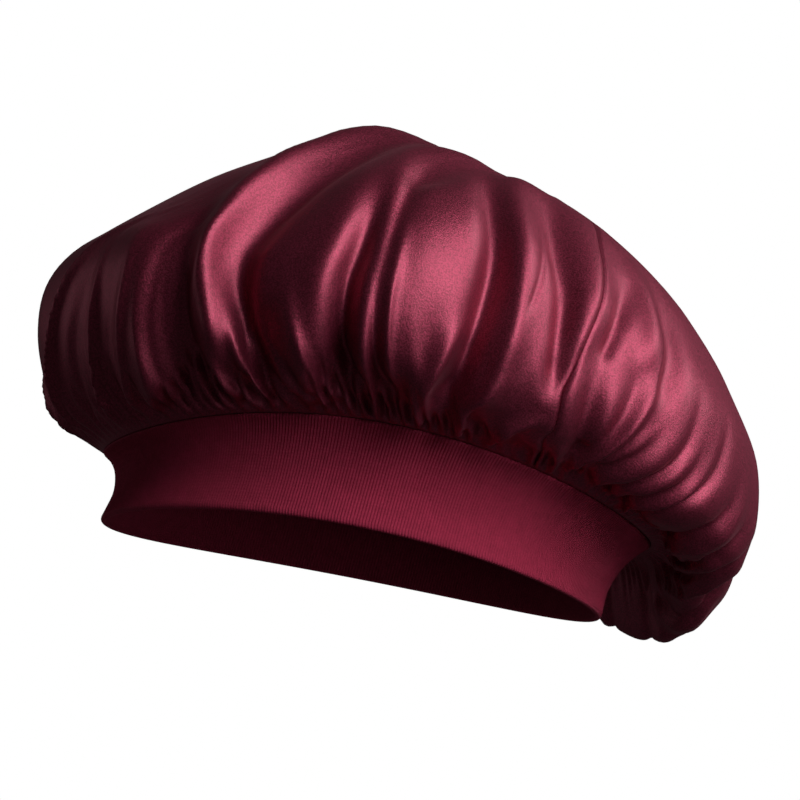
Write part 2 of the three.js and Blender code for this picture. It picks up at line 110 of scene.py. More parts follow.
FOLDS = (
    Fold(0.0, 0.34, -188, -182, -176, 0.9, 0.35, 0.2),
    Fold(0.0, 0.42, -173, -160, -140, 0.2, 0.5, 0.3),
    Fold(0.0, 0.3, -165, -153, -147, 0.5, -0.35, 0.0),
    Fold(0.0, 0.34, -156, -146, -151, 0.2, 0.45, 0.3),
    Fold(0.0, 0.34, -145, -137, -142, 0.2, 0.4, 0.3),
    Fold(0.0, 0.16, -139, -134, -133, 0.25, 0.3, 0.3),
    Fold(0.0, 0.44, -137, -135, -154, 1.15, 0.9, 0.6),
    Fold(0.0, 0.46, -129, -125, -143, 0.5, -0.55, 0.0),
    Fold(0.03, 0.46, -124, -123, -134, 0.22, 0.25, 0.2),
    Fold(0.0, 0.22, -115, -118, -119, 0.35, 0.8, 0.4),
    Fold(0.03, 0.84, -111, -132, -156, 0.6, 1.0, 0.5),
    Fold(0.0, 0.26, -110, -113, -120, 0.24, 0.75, 0.5),
    Fold(0.06, 0.86, -107, -124, -136, 0.8, -1.1, 0.0),
    Fold(0.0, 0.18, -103, -105, -108, 0.26, 0.7, 0.4),
    Fold(0.0, 0.29, -99, -103, -109, 0.45, 0.9, 0.6),
    Fold(0.05, 0.72, -98, -108, -128, 0.9, 0.8, 0.6),
    Fold(0.03, 0.66, -91, -101, -122, 0.42, -0.85, 0.0),
    Fold(0.02, 0.74, -88, -100, -131, 0.5, 0.8, 0.4),
    Fold(0.06, 0.74, -83, -100, -117, 0.4, -0.6, 0.0),
    Fold(0.1, 0.5, -83, -92, -104, 0.18, 0.35, 0.3),
    Fold(0.5, 0.9, -104, -108, -112, 0.8, -0.4, 0.0),
    Fold(0.45, 0.85, -140, -144, -148, 0.8, 0.12, 0.0),
    Fold(0.1, 0.72, -84, -95, -107, 1.9, 1.0, 0.0),
    Fold(0.0, 0.36, -81, -80, -81, 0.34, 0.85, 0.4),
    Fold(0.06, 0.84, -75, -84, -114, 0.5, -1.0, 0.0),
    Fold(0.06, 0.84, -69, -78, -108, 0.5, 0.6, -0.3),
    Fold(0.38, 0.62, -74, -77, -82, 0.12, -0.2, 0.0),
    Fold(0.0, 0.28, -73, -72, -69, 0.28, 0.75, 0.3),
    Fold(0.0, 0.24, -68, -64, -60, 0.28, 0.65, 0.3),
    Fold(0.24, 0.84, -62, -74, -92, 0.55, -0.75, 0.0),
    Fold(0.34, 0.78, -66, -67, -74, 0.6, 0.35, -0.2),
    Fold(0.4, 0.64, -60, -60, -58, 0.35, -0.45, 0.0),
    Fold(0.42, 0.76, -54, -53, -57, 0.5, 0.35, 0.1),
    Fold(0.4, 0.78, -49, -46, -46, 0.55, -0.4, 0.0),
    Fold(0.12, 0.5, -50, -57, -64, 0.5, -0.65, 0.0),
    Fold(0.06, 0.52, -51, -51, -56, 0.35, -0.6, 0.0),
    Fold(0.02, 0.66, -47, -50, -49, 0.3, 0.4, 0.3),
    Fold(0.0, 0.44, -47, -48, -49, 0.2, -0.55, 0.0),
    Fold(0.0, 0.56, -46, -47, -41, 0.3, 0.3, 0.2),
    Fold(0.0, 0.52, -45, -46, -44, 0.35, -0.5, 0.0),
    Fold(0.0, 0.7, -42, -43, -36, 0.6, 0.2, 0.1),
    Fold(0.0, 0.52, -40, -40, -38, 0.2, -0.6, 0.0),
    Fold(0.0, 0.66, -37, -37, -31, 0.5, 0.15, 0.1),
    Fold(0.0, 0.46, -35, -36, -35, 0.18, -0.5, 0.0),
    Fold(0.0, 0.5, -31, -34, -30, 0.25, 0.4, 0.2),
    Fold(0.0, 0.54, -28, -32, -25, 0.2, -0.6, 0.0),
    Fold(0.0, 0.6, -22, -28, -19, 0.6, 0.15, 0.1),
    Fold(0.0, 0.46, -12, -22, -19, 0.24, -0.6, 0.0),
    Fold(0.0, 0.5, -4, -18, -12, 0.4, 0.35, 0.2),
    Fold(0.02, 0.42, 6, -12, -10, 0.2, -0.6, 0.0),
    Fold(0.03, 0.42, 12, -7, 0, 0.22, -0.5, 0.0),
    Fold(0.05, 0.38, 20, -2, 3, 0.3, 0.3, 0.2),
    Fold(0.06, 0.3, 22, 8, 4, 0.22, -0.3, 0.0),
    Fold(0.07, 0.3, 23, 12, 6, 0.25, 0.25, 0.1),
    Fold(0.09, 0.3, 25, 17, 18, 0.22, -0.25, 0.0),
    Fold(0.14, 0.66, -10, -5, -2, 0.8, 0.3, 0.0),
    Fold(0.14, 0.6, 2, 6, 8, 0.6, -0.45, 0.0),
    Fold(0.1, 0.7, 13, 17, 19, 0.9, 0.45, 0.0),
    Fold(0.12, 0.62, 27, 29, 31, 0.6, -0.7, 0.0),
    Fold(0.1, 0.66, 40, 41, 43, 0.8, 0.5, 0.0),
)

# The far side repeats the folds beyond this azimuth, mirrored, turned a little and softer.
MIRROR_BEYOND = -12
MIRROR_TURN = 7
MIRROR_SOFTNESS = 0.85

# Where the crown hangs lowest behind the head, how far round the sag spreads on each side, and
# how far round its weight draws the folds smooth, in degrees. SAG_CALM is how much it does so.
SAG_AZIMUTH = 32
SAG_SPREAD_NEAR = 30
SAG_SPREAD_FAR = 40
SAG_SMOOTH = 24
SAG_CALM = 0.7

# How the cloth's lines drift round the crown on their way up, in degrees per full meridian.
DRIFT_AZIMUTHS = (
    -180, -158, -134, -109, -82, -67, -50, -38, -24, 0, 24, 50, 82, 109, 134, 158, 180)
DRIFT_TURNS = (10, 60, 0, -50, -58, -35, 0, 33, 48, 0, -45, -10, 55, 50, 0, -60, 10)

# Shares of the meridian: by the first the folds are in full above the band, between the next
# two the gathers fade out, and from the last on the cloth smooths out towards the middle.
BAND_FADE = 0.05
GATHER_FULL = 0.05
GATHER_END = 0.14
MIDDLE_FADE = 0.84

# How strong the gathers, the small folds and the wrinkles are round the crown.
GATHER_AZIMUTHS = (-180, -150, -130, -78, -64, -34, 0, 32, 62, 90, 130, 180)
GATHER_SHARES = (0.25, 0.35, 0.9, 1, 0.5, 0.35, 0.3, 0.2, 0.35, 0.8, 0.9, 0.25)

# A gather's profile is a cosine to this power, so that the creases between them are narrow.
GATHER_POWER = 1.6

# Folds at least this wide are rounded, and narrower ones come to an edge: a fold's profile has
# EDGE_POWER at no width and ROUND_POWER more at this one.
FOLD_ROUND = 0.5
EDGE_POWER = 1.2
ROUND_POWER = 0.8

# A fold's width where it starts and what it gains by its end, as shares of its own width, and
# the shares of its length by which it is full and from which it falls away.
FOLD_START_WIDTH = 0.7
FOLD_WIDENING = 0.6
FOLD_RISEN = 0.18
FOLD_FALLING = 0.45

# The small folds: how many there are and how far each is moved from its even place, as a share
# of the space between them, how much of the meridian they take at least and what chance adds,
# how they bend in degrees, and their heights, widths and lean as in Fold.
SMALL_FOLD_COUNT = 120
SMALL_FOLD_SHIFT = 0.4
SMALL_FOLD_REACH = 0.17
SMALL_FOLD_MORE = 0.2
SMALL_FOLD_BEND = 2.5
SMALL_FOLD_HEIGHTS = (0.12, 0.34)
SMALL_FOLD_WIDTHS = (0.16, 0.32)
SMALL_FOLD_LEAN = 0.3


class Noise(NamedTuple):
    """Soft chance values: the cells round the crown and up it, the seed and the most it gives."""
    around: int
    upward: int
    seed: int
    most: float


# How the gathers are moved along the band, how much fuller or flatter they are, and how much
# of the meridian they gain or lose.
GATHER_SHIFT = Noise(42, 1, 21, 0.9)
GATHER_FULLNESS = Noise(90, 1, 23, 0.7)
GATHER_REACH = Noise(75, 1, 25, 0.08)

# The heights of the wrinkles, and how much of them is gone between two shares of the meridian.
BROAD_WRINKLES = Noise(44, 9, 3, 0.0008)
FINE_WRINKLES = Noise(110, 16, 5, 0.00035)
WRINKLE_CALM = 0.75
WRINKLE_CALM_FROM = 0.2
WRINKLE_CALM_TO = 0.5

# The folds lie this much inside the smooth crown, so that their ridges reach its outline.
CLOTH_SINK = 0.0015

# The mesh of the crown: columns for a full turn, and rows from band to middle. The rows are
# closer at the band and the columns closer at the seams, by these shares. The front panel has
# this share of the columns and of the gathers.
CROWN_COLUMNS = 840
CROWN_ROWS = 86
ROW_CROWDING = 0.62
COLUMN_CROWDING = 0.35
FRONT_SHARE = 2 / 3

# The steps in which the crown's slopes are measured, and how near its middle they may be.
SLOPE_STEP = 1e-3
MIDDLE_MARGIN = 0.02

# The satin's UV places are metres of cloth: from one gather to the next, and up a panel.
GATHER_CLOTH = 0.009
PANEL_CLOTH = 0.28


class BandRing(NamedTuple):
    """A ring of the headband: its share of the rise, and of the waist that it is drawn in by."""
    rise: float
    waist: float


BAND_RINGS = (
    BandRing(0.0, 0.0),
    BandRing(0.16, 0.4),
    BandRing(0.36, 0.85),
    BandRing(0.58, 1.0),
    BandRing(0.78, 0.85),
    BandRing(0.92, 0.45),
    BandRing(1.0, 0.0),
)
BAND_COLUMNS = 960
BAND_ROWS = 22
HEM_STEPS = 8

# The ribs run between these shares of the band's rise, and are sunk in by this share of their
# radius. Each is a round bar with this many sides.
RIB_LOW = 0.02
RIB_HIGH = 0.985
RIB_SINK = 0.45
RIB_STEPS = 12
RIB_SIDES = 4

# The panel seam: how far its edges roll in, how wide the roll is, and over how many times that
# width the seam keeps its cloth from leaning.
SEAM_ROLL = 0.0009
SEAM_REACH = 0.0012
SEAM_HOLD = 4

# Noise scales of the materials, in cells for each metre, and the height of a course of knit.
SATIN_GRAIN = 1600.0
SATIN_CRUMPLE = 90.0
KNIT_NAP = 1500.0
KNIT_MOTTLE = 260.0
KNIT_COURSE = 0.0011


class BonnetSizes(bpy.types.PropertyGroup):
    """Sizes of the bonnet."""
    rim_length: bpy.props.FloatProperty(
        name="Rim length", description="Length of the band's lower edge", default=0.194, unit="LENGTH")
    rim_width: bpy.props.FloatProperty(
        name="Rim width", description="Width of the band's lower edge", default=0.162, unit="LENGTH")
    rim_pitch: bpy.props.FloatProperty(
        name="Rim pitch", description="How far the band rises to the front",
        default=math.radians(10.9), subtype="ANGLE")
    rim_arch: bpy.props.FloatProperty(
        name="Rim arch", description="Rise of the lower edge over the ears", default=0.007, unit="LENGTH")
    front_rise: bpy.props.FloatProperty(
        name="Front rise", description="Height of the band in front", default=0.027, unit="LENGTH")
    side_rise: bpy.props.FloatProperty(
        name="Side rise", description="Height of the band at the sides", default=0.038, unit="LENGTH")
    back_rise: bpy.props.FloatProperty(
        name="Back rise", description="Height of the band behind", default=0.028, unit="LENGTH")
    front_flare: bpy.props.FloatProperty(
        name="Front flare", description="How far the band's top stands out in front",
        default=-0.001, unit="LENGTH")
    side_flare: bpy.props.FloatProperty(
        name="Side flare", description="How far the band's top stands out at the sides",
        default=0.007, unit="LENGTH")
    back_flare: bpy.props.FloatProperty(
        name="Back flare", description="How far the band's top stands out behind",
        default=0.019, unit="LENGTH")
    waist_depth: bpy.props.FloatProperty(
        name="Waist depth", description="How far the band is drawn in", default=0.005, unit="LENGTH")
    band_wall: bpy.props.FloatProperty(
        name="Band wall", description="Thickness of the doubled knit", default=0.0024, unit="LENGTH")
    rib_count: bpy.props.IntProperty(
        name="Rib count", description="Ribs round the knit band", default=520)
    rib_radius: bpy.props.FloatProperty(
        name="Rib radius", description="Half the thickness of a rib", default=0.0003, unit="LENGTH")
    crown_length: bpy.props.FloatProperty(
        name="Crown length", description="Length of the crown", default=0.283, unit="LENGTH")
    crown_width: bpy.props.FloatProperty(
        name="Crown width", description="Width of the crown", default=0.242, unit="LENGTH")
    crown_height: bpy.props.FloatProperty(
        name="Crown height", description="Height of the crown with its sag", default=0.202, unit="LENGTH")
    crown_wall: bpy.props.FloatProperty(
        name="Crown wall", description="Thickness of the satin", default=0.0009, unit="LENGTH")
    fold_width: bpy.props.FloatProperty(
        name="Fold width", description="Width of a full fold", default=0.012, unit="LENGTH")
    fold_depth: bpy.props.FloatProperty(
        name="Fold depth", description="Height of a full fold", default=0.007, unit="LENGTH")
    gather_depth: bpy.props.FloatProperty(
        name="Gather depth", description="Depth of the gathers at the band",
        default=0.0034, unit="LENGTH")
    gather_count: bpy.props.IntProperty(
        name="Gather count", description="Gathers round the band", default=126)


class BonnetColours(bpy.types.PropertyGroup):
    """Colours of the bonnet and of its stage."""
    satin: bpy.props.FloatVectorProperty(
        name="Satin", description="Colour of the satin", subtype="COLOR", default=(0.34, 0.032, 0.078))
    satin_dark: bpy.props.FloatVectorProperty(
        name="Satin grain", description="Darker colour in the satin's grain", subtype="COLOR",
        default=(0.17, 0.014, 0.034))
    sheen: bpy.props.FloatVectorProperty(
        name="Satin sheen", description="Colour of the satin's sheen", subtype="COLOR",
        default=(0.9, 0.45, 0.52))
    knit: bpy.props.FloatVectorProperty(
        name="Knit", description="Colour of the knit band", subtype="COLOR", default=(0.49, 0.033, 0.088))
    # The darker end of the knit's colour: the yarn's random mottle and nap, and painted shade in the
    # grooves between the ribs.
    knit_mottle_and_groove_shade: bpy.props.FloatVectorProperty(
        name="Knit shade", description="Darker colour between the knit's yarns", subtype="COLOR",
        default=(0.215, 0.0135, 0.037))
    backdrop: bpy.props.FloatVectorProperty(
        name="Backdrop", description="Colour behind the bonnet", subtype="COLOR", default=(1.0, 1.0, 1.0))


class Value:
    """A shader socket that takes part in Python arithmetic by adding Math nodes."""

    def __init__(self, graph, socket):
        self.graph = graph
        self.socket = socket

    def _math(self, operation, first, second):
        return Value(self.graph, self.graph.add(
            "ShaderNodeMath", {"operation": operation}, {0: first, 1: second}).outputs[0])

    def __add__(self, other):
        return self._math("ADD", self, other)

    def __sub__(self, other):
        return self._math("SUBTRACT", self, other)

    def __mul__(self, other):
        return self._math("MULTIPLY", self, other)

    def sine(self):
        return self._math("SINE", self, 0.0)


class Graph:
    """A shader node tree, built by adding one node at a time."""

    def __init__(self, tree):
        self.tree = tree
        tree.nodes.clear()

    def add(self, kind, settings=None, inputs=None):
        """Adds a node, applies its settings, then its values and links."""
        node = self.tree.nodes.new(kind)
        for name, setting in (settings or {}).items():
            setattr(node, name, setting)
        for name, value in (inputs or {}).items():
            socket = node.inputs[name]
            if isinstance(value, Value):
                self.tree.links.new(value.socket, socket)
            elif isinstance(value, bpy.types.NodeSocket):
                self.tree.links.new(value, socket)
            else:
                socket.default_value = value
        return node

    def value(self, socket):
        return Value(self, socket)


def new_material(name):
    """An empty node material and its graph."""
    material = bpy.data.materials.new(name)
    material.use_nodes = True
    return material, Graph(material.node_tree)


def rgba(colour):
    return (*colour, 1.0)


def noise_texture(graph, place, scale, detail):
    """The value of a noise texture, between 0 and 1."""
    return graph.value(graph.add("ShaderNodeTexNoise", inputs={
        "Vector": place, "Scale": scale, "Detail": detail}).outputs["Fac"])


def mixed_colour(graph, factor, first, second):
    """The socket of a colour between two, which goes from the first to the second."""
    return graph.add("ShaderNodeMix", {"data_type": "RGBA"}, {
        "Factor": factor, 6: rgba(first), 7: rgba(second)}).outputs[2]


def surface(graph, inputs):
    """Ends a material's graph with a Principled shader."""
    shader = graph.add("ShaderNodeBsdfPrincipled", inputs=inputs)
    graph.add("ShaderNodeOutputMaterial", inputs={"Surface": shader.outputs[0]})


def satin_material(colours):
    """Glossy woven satin: tinted reflections under a thin pale gloss, and a fine grain."""
    material, graph = new_material("satin")
    place = graph.add("ShaderNodeTexCoord").outputs["Object"]
    grain = noise_texture(graph, place, SATIN_GRAIN, 1.0)
    crumple = noise_texture(graph, place, SATIN_CRUMPLE, 3.0)
    bump = graph.add("ShaderNodeBump", inputs={
        "Strength": 0.5, "Distance": 0.0005, "Height": grain * 0.5 + crumple})
    lightness = (grain - 0.34) * 3.2
    surface(graph, {
        "Base Color": mixed_colour(graph, lightness, colours.satin_dark, colours.satin),
        "Metallic": 0.8, "Roughness": grain * 0.15 + 0.41,
        "Coat Weight": 0.45, "Coat Roughness": 0.45, "Specular Tint": rgba(colours.sheen),
        "Sheen Weight": 0.05, "Sheen Roughness": 0.4, "Sheen Tint": rgba(colours.sheen),
        "Normal": bump.outputs["Normal"]})
    return material


def knit_material(colours):
    """Matte knit, mottled by its yarn, with a soft nap, faint courses and painted shade in the grooves
    between its ribs.
    """
    material, graph = new_material("knit")
    uv = graph.add("ShaderNodeUVMap", {"uv_map": "cloth"}).outputs["UV"]
    parts = graph.add("ShaderNodeSeparateXYZ", inputs={"Vector": uv})
    ribs = (graph.value(parts.outputs["X"]) * (2 * math.pi)).sine()
    courses = (graph.value(parts.outputs["Y"]) * (2 * math.pi / KNIT_COURSE)).sine()
    place = graph.add("ShaderNodeTexCoord").outputs["Object"]
    nap = noise_texture(graph, place, KNIT_NAP, 2.0)
    mottle = noise_texture(graph, place, KNIT_MOTTLE, 3.0)
    bump = graph.add("ShaderNodeBump", inputs={
        "Strength": 0.6, "Distance": 0.0003, "Height": ribs * 0.5 + courses * 0.06 + nap * 0.4})
    # The rib term paints shade into the grooves between the ribs and light onto their crests; the nap and
    # mottle are the yarn's own uneven tone.
    lightness = ribs * 0.12 + nap * 0.9 + mottle * 0.5 - 0.25
    surface(graph, {
        "Base Color": mixed_colour(graph, lightness, colours.knit_mottle_and_groove_shade, colours.knit),
        "Roughness": 0.9, "Specular IOR Level": 0.2,
        "Sheen Weight": 0.05, "Sheen Roughness": 0.5, "Sheen Tint": rgba(colours.sheen),
        "Normal": bump.outputs["Normal"]})
    return material


def smoothstep(value, low, high):
    """A smooth rise from 0 at low to 1 at high."""
    share = np.clip((value - low) / (high - low), 0.0, 1.0)
    return share * share * (3 - 2 * share)


def turn_between(start, end):
    """The shorter way round from one azimuth to another, in degrees."""
    return (end - start + 180) % 360 - 180


def smooth_columns(rows, along):
    """Every column of the rows at the given shares, on smooth curves through all of them."""
    rows = np.asarray(rows, float)
    places = rows[:, 0]
    steps = np.diff(rows, axis=0) / np.diff(places)[:, None]
    weights = (np.diff(places)[:-1] / (places[2:] - places[:-2]))[:, None]
    inner = steps[:-1] * (1 - weights) + steps[1:] * weights
    slopes = np.vstack([steps[:1], inner, steps[-1:]])
    index = np.clip(np.searchsorted(places, along, side="right") - 1, 0, len(places) - 2)
    span = places[index + 1] - places[index]
    share = ((along - places[index]) / span)[..., None]
    span = span[..., None]
    square = share * share
    cube = square * share
    return (rows[index] * (2 * cube - 3 * square + 1) + rows[index + 1] * (3 * square - 2 * cube)
            + slopes[index] * span * (cube - 2 * square + share)
            + slopes[index + 1] * span * (cube - square))


def oval(front_x, front_z, back_x, back_z, half_width, side_z, azimuth):
    """Points of a ring whose front, back and sides have their own heights."""
    cosine = np.cos(azimuth)
    sine = np.sin(azimuth)
    middle_z = (front_z + back_z) / 2
    x = (front_x + back_x) / 2 + (back_x - front_x) / 2 * cosine
    z = middle_z + (back_z - front_z) / 2 * cosine + (side_z - middle_z) * sine * sine
    return np.stack(np.broadcast_arrays(x, half_width * sine, z), axis=-1)


def rim_values(sizes):
    """The band's lower edge: tilted, and arched over the ears."""
    reach = sizes.rim_length / 2 * math.cos(sizes.rim_pitch)
    drop = sizes.rim_length / 2 * math.sin(sizes.rim_pitch)
    return np.array([-reach, drop, reach, -drop, sizes.rim_width / 2, sizes.rim_arch])


def seam_values(sizes):
    """The seam between the band and the crown."""
    flare = [-sizes.front_flare, sizes.front_rise, sizes.back_flare, sizes.back_rise,
             sizes.side_flare, sizes.side_rise]
    return rim_values(sizes) + np.array(flare)


def smooth_noise(turn, along, noise):
    """Values between the noise's most and its negative, which join up round the crown."""
    rng = np.random.default_rng(noise.seed)
    values = rng.uniform(-1, 1, (noise.upward + 2, noise.around))
    column = (turn % 1.0) * noise.around
    row = np.clip(along, 0, 1) * noise.upward
    left = np.floor(column).astype(int) % noise.around
    right = (left + 1) % noise.around
    low = np.floor(row).astype(int)
    across = smoothstep(column - np.floor(column), 0, 1)
    upward = smoothstep(row - low, 0, 1)
    lower = values[low, left] * (1 - across) + values[low, right] * across
    upper = values[low + 1, left] * (1 - across) + values[low + 1, right] * across
    return noise.most * (lower * (1 - upward) + upper * upward)


class Crown:
    """The satin crown's form: a smooth surface, and the height of the cloth over it."""

    def __init__(self, sizes):
        self.sizes = sizes
        scale = np.array([1, sizes.crown_length, sizes.crown_height, sizes.crown_length,
                          sizes.crown_height, sizes.crown_width / 2, sizes.crown_height,
                          sizes.crown_height, 1])
        rows = np.array(CROWN_SECTIONS) * scale
        first = np.concatenate([[0.0], seam_values(sizes), [0.0, CROWN_SECTIONS[0].seam]])
        self.rows = np.vstack([first, rows])
        self.small_folds = self.make_small_folds()

    def point(self, azimuth, along):
        """Points of the smooth crown, azimuths in radians."""
        columns = smooth_columns(self.rows, along)
        point = oval(*(columns[..., k] for k in range(1, 7)), azimuth)
        turn = turn_between(SAG_AZIMUTH, np.degrees(azimuth))
        spread = np.where(turn < 0, SAG_SPREAD_NEAR, SAG_SPREAD_FAR)
        point[..., 2] -= columns[..., 7] * np.exp(-((turn / spread) ** 2))
        return point

    def seam(self, along):
        """The panel seam's azimuth on the far side, in radians."""
        return np.radians(smooth_columns(self.rows, along)[..., 8])

    def directions(self, azimuth, along):
        """Directions round and out of the crown, and the metres in one radian round."""
        step = SLOPE_STEP
        place = np.clip(along, step, 1 - MIDDLE_MARGIN)
        around = self.point(azimuth + step, place) - self.point(azimuth - step, place)
        upward = self.point(azimuth, place + step) - self.point(azimuth, place - step)
        length = np.linalg.norm(around, axis=-1)
        around /= length[..., None]
        out = np.cross(around, upward)
        out /= np.linalg.norm(out, axis=-1, keepdims=True)
        return around, out, length / (2 * step)

    def make_small_folds(self):
        """Short folds that run out of the gathers, along the drift of the cloth."""
        rng = np.random.default_rng(11)
        folds = []
        for k in range(SMALL_FOLD_COUNT):
            shift = rng.uniform(-SMALL_FOLD_SHIFT, SMALL_FOLD_SHIFT)
            start = -180 + 360 * (k + shift) / SMALL_FOLD_COUNT
            high = SMALL_FOLD_REACH + SMALL_FOLD_MORE * rng.random() ** 1.5
            drift = np.interp(start, DRIFT_AZIMUTHS, DRIFT_TURNS) * high
            bend = rng.uniform(-SMALL_FOLD_BEND, SMALL_FOLD_BEND)
            sign = 1 if k % 2 else -1
            strength = np.interp(start, GATHER_AZIMUTHS, GATHER_SHARES)
            height = sign * rng.uniform(*SMALL_FOLD_HEIGHTS) * strength
            folds.append(Fold(0.0, high, start, start + drift / 2 + bend, start + drift,
                              rng.uniform(*SMALL_FOLD_WIDTHS), height, SMALL_FOLD_LEAN * sign))
        return folds

    def fold_shape(self, fold, degrees, along, radian_length):
        """The height of one fold at places on the crown, in metres."""
        share = np.clip((along - fold.low) / (fold.high - fold.low), 0, 1)
        line = (fold.start * (1 - share) * (1 - 2 * share) + fold.middle * 4 * share * (1 - share)
                + fold.end * share * (2 * share - 1))
        width = fold.width * self.sizes.fold_width * (FOLD_START_WIDTH + FOLD_WIDENING * share)
        away = np.radians(turn_between(line, degrees)) * radian_length / width
        strength = smoothstep(share, 0, FOLD_RISEN) * (1 - smoothstep(share, FOLD_FALLING, 1))
        roundness = EDGE_POWER + ROUND_POWER * min(fold.width / FOLD_ROUND, 1)
        return fold.height * self.sizes.fold_depth * strength * np.exp(-np.abs(away) ** roundness)

    def folds(self, degrees, along, radian_length):
        """The height of all folds, and how far they tip over round the crown."""
        height = np.zeros_like(degrees)
        slide = np.zeros_like(degrees)
        for fold in (*FOLDS, *self.small_folds):
            shape = self.fold_shape(fold, degrees, along, radian_length)
            height += shape
            slide += fold.lean * shape
        for fold in FOLDS:
            if fold.middle < MIRROR_BEYOND:
                shape = self.fold_shape(fold, MIRROR_TURN - degrees, along, radian_length)
                shape = MIRROR_SOFTNESS * shape
                height += shape
                slide -= fold.lean * shape
        return height, slide

    def gathers(self, share, along, count):
        """The rounded gathers that the band holds, with a crease between each two. share runs
        across a panel, and count is its gathers, which tell the front panel from the back."""
        total = self.sizes.gather_count
        turn = share * count / total + (0 if count > total / 2 else 0.5)
        level = np.zeros_like(along)
        phase = count * share + smooth_noise(turn, level, GATHER_SHIFT)
        wave = 1 - 2 * np.abs(np.cos(math.pi * phase)) ** GATHER_POWER
        fullness = 1 + smooth_noise(turn, level, GATHER_FULLNESS)
        reach = GATHER_END + smooth_noise(turn, level, GATHER_REACH)
        strength = smoothstep(along, 0, GATHER_FULL / 2) * (1 - smoothstep(along, GATHER_FULL, reach))
        return self.sizes.gather_depth / 2 * wave * fullness * strength

    def wrinkles(self, degrees, along):
        """Slight uneven creasing of the cloth between its folds."""
        drift = np.interp(turn_between(0, degrees), DRIFT_AZIMUTHS, DRIFT_TURNS)
        turn = (degrees - drift * along) / 360
        broad = smooth_noise(turn, along, BROAD_WRINKLES)
        fine = smooth_noise(turn, along, FINE_WRINKLES)
        calm = 1 - WRINKLE_CALM * smoothstep(along, WRINKLE_CALM_FROM, WRINKLE_CALM_TO)
        return calm * (broad + fine)

    def cloth(self, azimuth, along, share, count):
        """Points on the outside of the folded cloth, and the directions out."""
        around, out, radian_length = self.directions(azimuth, along)
        degrees = np.degrees(azimuth)
        fade = smoothstep(along, 0, BAND_FADE) * (1 - smoothstep(along, MIDDLE_FADE, 1))
        height, slide = self.folds(degrees, along, radian_length)
        from_sag = turn_between(SAG_AZIMUTH, degrees) / SAG_SMOOTH
        drawn = 1 - SAG_CALM * np.exp(-from_sag ** 2)
        slide *= drawn
        held_in = np.interp(turn_between(0, degrees), GATHER_AZIMUTHS, GATHER_SHARES)
        height = ((height + self.wrinkles(degrees, along) * held_in) * drawn - CLOTH_SINK) * fade
        height += self.gathers(share, along, count) * held_in
        to_seam = np.abs(np.abs(turn_between(0, degrees)) - np.degrees(self.seam(along)))
        from_seam = np.radians(to_seam) * radian_length / SEAM_REACH
        height -= SEAM_ROLL * np.exp(-from_seam ** 2) * smoothstep(along, 0, BAND_FADE)
        held = 1 - np.exp(-(from_seam / SEAM_HOLD) ** 2)
        point = self.point(azimuth, along) + out * height[..., None]
        return point + around * (slide * fade * held)[..., None], out


def wall_faces(first, second):
    """Quads between two lines of point numbers."""
    return np.stack([first[:-1], first[1:], second[1:], second[:-1]], axis=-1)


def make_mesh(name, points, faces, uvs, material):
    """A smooth object from points, four-sided faces and one UV place for each point. Corners
    that share a point are one face corner, so the crown's middle closes with triangles."""
    mesh = bpy.data.meshes.new(name)
    mesh.from_pydata(points.tolist(), [], [list(dict.fromkeys(face)) for face in faces.tolist()])
    layer = mesh.uv_layers.new(name="cloth")
    corners = np.empty(len(mesh.loops), dtype=np.int32)
    mesh.loops.foreach_get("vertex_index", corners)
    layer.data.foreach_set("uv", uvs[corners].ravel())
    mesh.materials.append(material)
    mesh.shade_smooth()
    thing = bpy.data.objects.new(name, mesh)
    bpy.context.collection.objects.link(thing)
    return thing


def crown_panel(crown, name, start, end, gathers, columns, material):
    """One panel between two seams, as a thin closed shell. start and end give its azimuths."""
    even = np.linspace(0, 1, CROWN_ROWS + 1)
    along_row = ROW_CROWDING * even ** 1.5 + (1 - ROW_CROWDING) * even ** 2
    share_row = np.linspace(0, 1, columns + 1)
    share_row = share_row - COLUMN_CROWDING * np.sin(2 * math.pi * share_row) / (2 * math.pi)
    along, share = np.meshgrid(along_row, share_row, indexing="ij")
    azimuth = start(along) * (1 - share) + end(along) * share
    outer, out = crown.cloth(azimuth, along, share, gathers)
    inner = outer - out * crown.sizes.crown_wall
    for layer in (outer, inner):
        layer[-1] = layer[-1].mean(axis=0)
    count = outer.shape[0] * outer.shape[1]
    points = np.concatenate([outer.reshape(-1, 3), inner.reshape(-1, 3)])
    index = np.arange(count).reshape(outer.shape[:2])
    index[-1] = index[-1, 0]
    outside = np.stack([index[:-1, :-1], index[:-1, 1:], index[1:, 1:], index[1:, :-1]], axis=-1)
    outside = outside.reshape(-1, 4)
    faces = np.concatenate([
        outside, outside[:, ::-1] + count,
        wall_faces(index[0] + count, index[0]),
        wall_faces(index[:, 0], index[:, 0] + count),
        wall_faces(index[:, -1] + count, index[:, -1])])
    used, numbers = np.unique(faces, return_inverse=True)
    uv = np.stack([share * gathers * GATHER_CLOTH, along * PANEL_CLOTH], axis=-1).reshape(-1, 2)
    uvs = np.concatenate([uv, uv])
    return make_mesh(name, points[used], numbers.reshape(faces.shape), uvs[used], material)


def band_outside(crown, turns, share):
    """Points on the outside of the band at each azimuth and share of its rise, and the level
    directions out of it."""
    sizes = crown.sizes
    azimuth, share = np.meshgrid(turns, share, indexing="ij")
    waist = smooth_columns(BAND_RINGS, share)[..., 1]
    rim = oval(*rim_values(sizes), azimuth)
    rim[..., 2] += sizes.band_wall / 2
    level = np.zeros_like(azimuth)
    out = crown.directions(azimuth, level)[1]
    top = crown.point(azimuth, level) + out * CLEARANCE
    level_out = np.stack(
        [np.cos(azimuth) * sizes.rim_width, np.sin(azimuth) * sizes.rim_length, level], axis=-1)
    level_out /= np.linalg.norm(level_out, axis=-1, keepdims=True)
    place = rim * (1 - share)[..., None] + top * share[..., None]
    return place - level_out * (waist * sizes.waist_depth)[..., None], level_out


